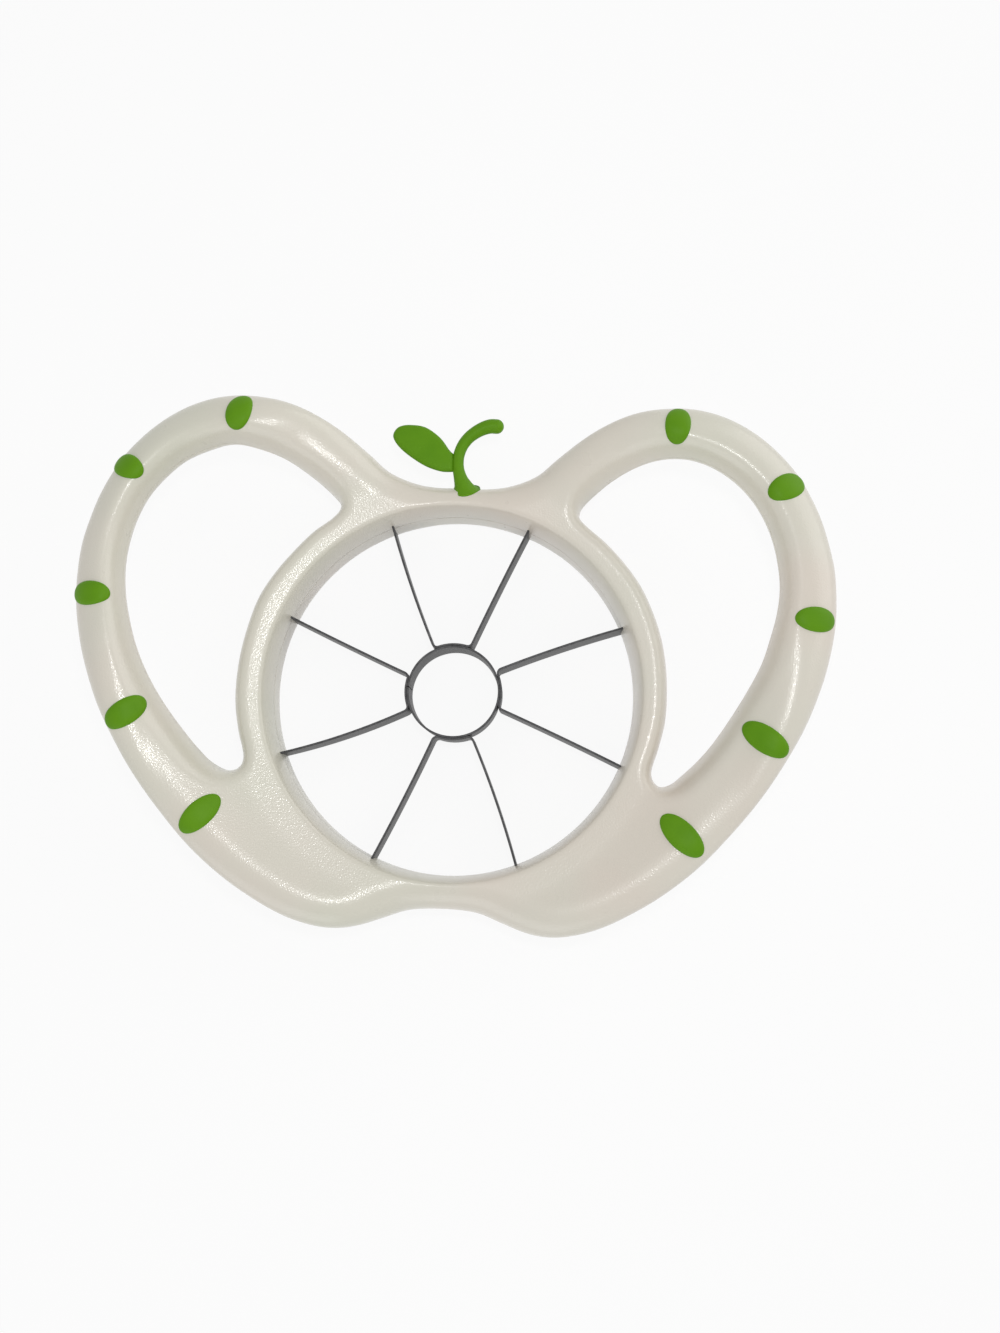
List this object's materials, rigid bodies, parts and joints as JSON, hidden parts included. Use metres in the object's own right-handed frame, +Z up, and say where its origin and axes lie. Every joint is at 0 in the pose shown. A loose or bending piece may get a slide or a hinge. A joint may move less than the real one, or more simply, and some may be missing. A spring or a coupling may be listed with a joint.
{
  "type": "apple slicer wedger press",
  "caption": "Push-down fruit slicer: apple-shaped frame with raised loop handles and grip pads, a cutting ring of bent steel blades around a core ring, and a stem with a leaf.",
  "frame": {"origin": "centre of the bounding box in plan, on the flat underside of the cutting ring", "axes": "+X to the right across both handles, +Y towards the stem, +Z up along the cutting ring's axis"},
  "size_m": [0.1744, 0.1245, 0.0312],
  "materials": {
    "ivory_plastic": "gloss",
    "holder_plastic": "satin",
    "blade_steel": "brushed",
    "grip_rubber": "satin",
    "stem_plastic": "satin"
  },
  "bodies": {
    "root": {"upper_shell": "ivory_plastic", "lower_shell": "ivory_plastic", "blade_holder": "holder_plastic", "core_ring": "blade_steel", "blade_top": "blade_steel", "blade_right": "blade_steel", "blade_bottom": "blade_steel", "blade_left": "blade_steel", "grip_right_1": "grip_rubber", "grip_right_2": "grip_rubber", "grip_right_3": "grip_rubber", "grip_right_4": "grip_rubber", "grip_right_5": "grip_rubber", "grip_left_1": "grip_rubber", "grip_left_2": "grip_rubber", "grip_left_3": "grip_rubber", "grip_left_4": "grip_rubber", "grip_left_5": "grip_rubber", "stem": "stem_plastic", "leaf": "stem_plastic"}
  },
  "joints": []
}
